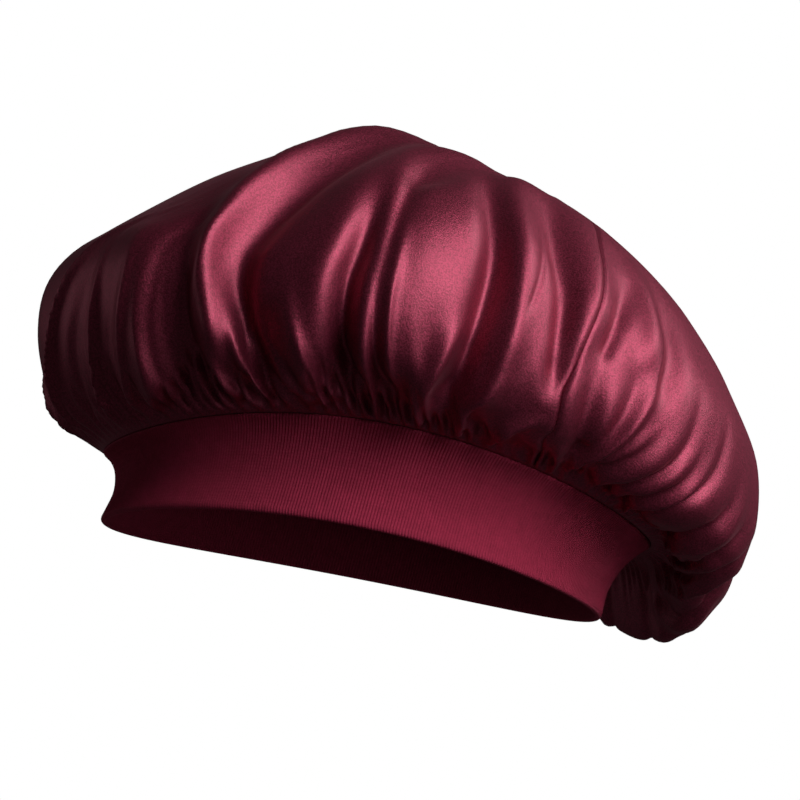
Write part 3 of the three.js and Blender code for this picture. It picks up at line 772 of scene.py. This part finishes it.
def headband(crown, material):
    """The doubled knit: up the outside, over the top, down the inside and round the hem."""
    sizes = crown.sizes
    turns = np.linspace(0, 2 * math.pi, BAND_COLUMNS, endpoint=False)
    outside, level_out = band_outside(crown, turns, np.linspace(0, 1, BAND_ROWS + 1))
    inside = (outside - level_out * sizes.band_wall)[:, ::-1]
    angle = np.linspace(0, math.pi, HEM_STEPS + 1)[1:-1]
    middle = (outside[:, :1] + inside[:, -1:]) / 2
    half = sizes.band_wall / 2
    hem = middle - level_out[:, :1] * (half * np.cos(angle))[None, :, None]
    hem = hem + np.array([0, 0, -half]) * np.sin(angle)[None, :, None]
    profile = np.concatenate([outside, inside, hem], axis=1)
    columns, steps = profile.shape[:2]
    index = np.arange(columns * steps).reshape(columns, steps)
    following = np.roll(index, -1, axis=0)
    beside = np.roll(index, -1, axis=1)
    corner = np.roll(following, -1, axis=1)
    faces = np.stack([index, following, corner, beside], axis=-1).reshape(-1, 4)
    length = np.linalg.norm(np.diff(profile[0], axis=0, prepend=profile[0][:1]), axis=1).cumsum()
    turn = np.arange(columns) / columns * sizes.rib_count
    uvs = np.stack(np.meshgrid(turn, length, indexing="ij"), axis=-1).reshape(-1, 2)
    return make_mesh("headband_knit", profile.reshape(-1, 3), faces, uvs, material)


def rib_nodes(material):
    """A node tree that turns each line of a mesh into a round rib."""
    tree = bpy.data.node_groups.new("knit_ribs", "GeometryNodeTree")
    graph = Graph(tree)
    tree.interface.new_socket("Geometry", in_out="INPUT", socket_type="NodeSocketGeometry")
    radius = tree.interface.new_socket("Rib radius", in_out="INPUT", socket_type="NodeSocketFloat")
    tree.interface.new_socket("Geometry", in_out="OUTPUT", socket_type="NodeSocketGeometry")
    given = graph.add("NodeGroupInput")
    lines = graph.add("GeometryNodeMeshToCurve", inputs={"Mesh": given.outputs["Geometry"]})
    profile = graph.add("GeometryNodeCurvePrimitiveCircle", inputs={
        "Resolution": RIB_SIDES, "Radius": given.outputs["Rib radius"]})
    ribs = graph.add("GeometryNodeCurveToMesh", inputs={
        "Curve": lines.outputs["Curve"], "Profile Curve": profile.outputs["Curve"], "Fill Caps": True})
    solid = graph.add("GeometryNodeRealizeInstances", inputs={"Geometry": ribs.outputs["Mesh"]})
    painted = graph.add("GeometryNodeSetMaterial", inputs={
        "Geometry": solid.outputs["Geometry"], "Material": material})
    graph.add("NodeGroupOutput", inputs={"Geometry": painted.outputs["Geometry"]})
    return tree, radius.identifier


def headband_ribs(crown, material):
    """The raised ribs of the knit, up the outside of the band."""
    sizes = crown.sizes
    turns = np.linspace(0, 2 * math.pi, sizes.rib_count, endpoint=False)
    points, level_out = band_outside(crown, turns, np.linspace(RIB_LOW, RIB_HIGH, RIB_STEPS + 1))
    points = points - level_out * (sizes.rib_radius * RIB_SINK)
    index = np.arange(sizes.rib_count * (RIB_STEPS + 1)).reshape(sizes.rib_count, RIB_STEPS + 1)
    edges = np.stack([index[:, :-1], index[:, 1:]], axis=-1).reshape(-1, 2)
    guide = bpy.data.meshes.new("rib_lines")
    guide.from_pydata(points.reshape(-1, 3).tolist(), edges.tolist(), [])
    thing = bpy.data.objects.new("headband_ribs", guide)
    bpy.context.collection.objects.link(thing)
    tree, radius = rib_nodes(material)
    modifier = thing.modifiers.new("ribs", "NODES")
    modifier.node_group = tree
    modifier[radius] = sizes.rib_radius
    depsgraph = bpy.context.evaluated_depsgraph_get()
    mesh = bpy.data.meshes.new_from_object(thing.evaluated_get(depsgraph))
    thing.modifiers.clear()
    thing.data = mesh
    mesh.shade_smooth()
    return thing


def declare_sheet(thing, node):
    """Hangs a piece under the root, and hides the imported solid that it stands for."""
    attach(thing, "root")
    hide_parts(node)


class BONNET_OT_headband(bpy.types.Operator):
    """Make the folded knit headband"""
    bl_idname = "bonnet.headband"
    bl_label = "Headband"

    def execute(self, context):
        crown = Crown(context.scene.bonnet_sizes)
        material = knit_material(context.scene.bonnet_colours)
        thing = headband(crown, material)
        ribs = headband_ribs(crown, material)
        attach(ribs, "root")
        declare_sheet(thing, "headband")
        return {"FINISHED"}


class BONNET_OT_crown(bpy.types.Operator):
    """Make the two gathered satin panels of the crown"""
    bl_idname = "bonnet.crown"
    bl_label = "Crown"

    def execute(self, context):
        crown = Crown(context.scene.bonnet_sizes)
        material = satin_material(context.scene.bonnet_colours)
        gathers = crown.sizes.gather_count
        front_gathers = round(gathers * FRONT_SHARE)
        front_columns = round(CROWN_COLUMNS * FRONT_SHARE)
        front = crown_panel(
            crown, "crown_front_satin", crown.seam, lambda along: 2 * math.pi - crown.seam(along),
            front_gathers, front_columns, material)
        back = crown_panel(
            crown, "crown_back_satin", lambda along: -crown.seam(along), crown.seam,
            gathers - front_gathers, CROWN_COLUMNS - front_columns, material)
        declare_sheet(front, "crown_front_panel")
        declare_sheet(back, "crown_back_panel")
        return {"FINISHED"}


# The camera looks up at the bonnet from the side, a little from below.
CAMERA_DISTANCE = 3.0
CAMERA_DROP = math.radians(8.3)
CAMERA_TARGET = (0.0187, 0.0, 0.0657)
LENS = 353.5
SENSOR = 36.0
FLOOR_HEIGHT = -1.6
FLOOR_SIZE = 8
BACKDROP_RADIUS = 9.0

# How bright the surroundings are straight below and straight above the bonnet.
AMBIENT_LEVELS = (0.045, 0.03)


class Lamp(NamedTuple):
    """A square light: its name, place, width and watts."""
    name: str
    place: tuple
    width: float
    watts: float


LAMPS = (
    Lamp("key_light", (1.3, -1.3, 0.95), 1.5, 34),
    Lamp("side_light", (1.5, 0.2, 0.9), 1.0, 12),
    Lamp("fill_light", (1.5, -1.2, -0.35), 1.2, 2.5),
    Lamp("edge_light", (-1.5, 0.7, 0.4), 0.8, 0.8),
)


def add_lamp(lamp):
    """Makes a square light that faces the bonnet."""
    light = bpy.data.lights.new(lamp.name, "AREA")
    light.shape = "SQUARE"
    light.size = lamp.width
    light.energy = lamp.watts
    thing = bpy.data.objects.new(lamp.name, light)
    thing.location = lamp.place
    to_target = np.array(CAMERA_TARGET) - np.array(lamp.place)
    thing.rotation_euler = (math.acos(-to_target[2] / np.linalg.norm(to_target)), 0,
                            math.atan2(to_target[1], to_target[0]) - math.pi / 2)
    bpy.context.collection.objects.link(thing)


def add_backdrop(colour):
    """Makes a pale dome all round, which the camera sees and which lights nothing."""
    material, graph = new_material("backdrop")
    glow = graph.add("ShaderNodeEmission", inputs={"Color": rgba(colour), "Strength": 1.0})
    graph.add("ShaderNodeOutputMaterial", inputs={"Surface": glow.outputs[0]})
    bpy.ops.mesh.primitive_uv_sphere_add(radius=BACKDROP_RADIUS, segments=48, ring_count=24)
    dome = bpy.context.object
    dome.name = "backdrop"
    dome.data.materials.append(material)
    dome.visible_diffuse = False
    dome.visible_glossy = False
    dome.visible_transmission = False
    dome.visible_shadow = False


def add_floor():
    """Makes a pale floor far below, which only the camera sees."""
    material, graph = new_material("floor")
    surface(graph, {"Base Color": (0.9, 0.9, 0.9, 1), "Roughness": 0.9})
    bpy.ops.mesh.primitive_plane_add(size=FLOOR_SIZE, location=(0, 0, FLOOR_HEIGHT))
    floor = bpy.context.object
    floor.name = "floor"
    floor.data.materials.append(material)
    floor.visible_diffuse = False
    floor.visible_glossy = False


def dim_world():
    """A world that lights the bonnet a little from all round."""
    world = bpy.data.worlds.new("surroundings")
    world.use_nodes = True
    graph = Graph(world.node_tree)
    place = graph.add("ShaderNodeTexCoord").outputs["Generated"]
    parts = graph.add("ShaderNodeSeparateXYZ", inputs={"Vector": place})
    height = graph.value(parts.outputs["Z"]) * 0.5 + 0.5
    ramp = graph.add("ShaderNodeValToRGB", inputs={"Fac": height})
    for stop, level in zip(ramp.color_ramp.elements, AMBIENT_LEVELS):
        stop.color = (level, level, level, 1.0)
    background = graph.add("ShaderNodeBackground", inputs={
        "Color": ramp.outputs["Color"], "Strength": 1.0})
    graph.add("ShaderNodeOutputWorld", inputs={"Surface": background.outputs[0]})
    return world


def add_camera():
    """Makes the camera that sees the bonnet as the photograph does."""
    camera = bpy.data.cameras.new("camera")
    camera.lens = LENS
    camera.sensor_width = SENSOR
    eye = bpy.data.objects.new("camera", camera)
    x, y, z = CAMERA_TARGET
    away = CAMERA_DISTANCE * math.cos(CAMERA_DROP)
    below = CAMERA_DISTANCE * math.sin(CAMERA_DROP)
    eye.location = (x, y - away, z - below)
    eye.rotation_euler = (math.pi / 2 + CAMERA_DROP, 0, 0)
    bpy.context.collection.objects.link(eye)
    return eye


class BONNET_OT_stage(bpy.types.Operator):
    """Make the camera, the lights, the pale floor and the white surroundings"""
    bl_idname = "bonnet.stage"
    bl_label = "Stage"

    def execute(self, context):
        scene = context.scene
        scene.world = dim_world()
        add_backdrop(scene.bonnet_colours.backdrop)
        for lamp in LAMPS:
            add_lamp(lamp)
        add_floor()
        scene.camera = add_camera()
        scene.view_settings.view_transform = "Standard"
        scene.view_settings.look = "None"
        return {"FINISHED"}


class BONNET_PT_panel(bpy.types.Panel):
    """Buttons and sizes for the bonnet"""
    bl_idname = "BONNET_PT_panel"
    bl_label = "Sleep Bonnet"
    bl_space_type = "VIEW_3D"
    bl_region_type = "UI"
    bl_category = "Bonnet"

    def draw(self, context):
        for operator in OPERATORS:
            self.layout.operator(operator.bl_idname)
        for group in (context.scene.bonnet_sizes, context.scene.bonnet_colours):
            for name in group.__annotations__:
                self.layout.prop(group, name)


OPERATORS = (BONNET_OT_stage, BONNET_OT_headband, BONNET_OT_crown)
CLASSES = (BonnetSizes, BonnetColours, *OPERATORS, BONNET_PT_panel)


def register():
    for item in CLASSES:
        bpy.utils.register_class(item)
    bpy.types.Scene.bonnet_sizes = bpy.props.PointerProperty(type=BonnetSizes)
    bpy.types.Scene.bonnet_colours = bpy.props.PointerProperty(type=BonnetColours)


def unregister():
    del bpy.types.Scene.bonnet_colours
    del bpy.types.Scene.bonnet_sizes
    for item in reversed(CLASSES):
        bpy.utils.unregister_class(item)


def main():
    """Builds the bonnet and its stage."""
    register()
    bpy.ops.bonnet.stage()
    bpy.ops.bonnet.headband()
    bpy.ops.bonnet.crown()


if __name__ == "__main__":
    main()
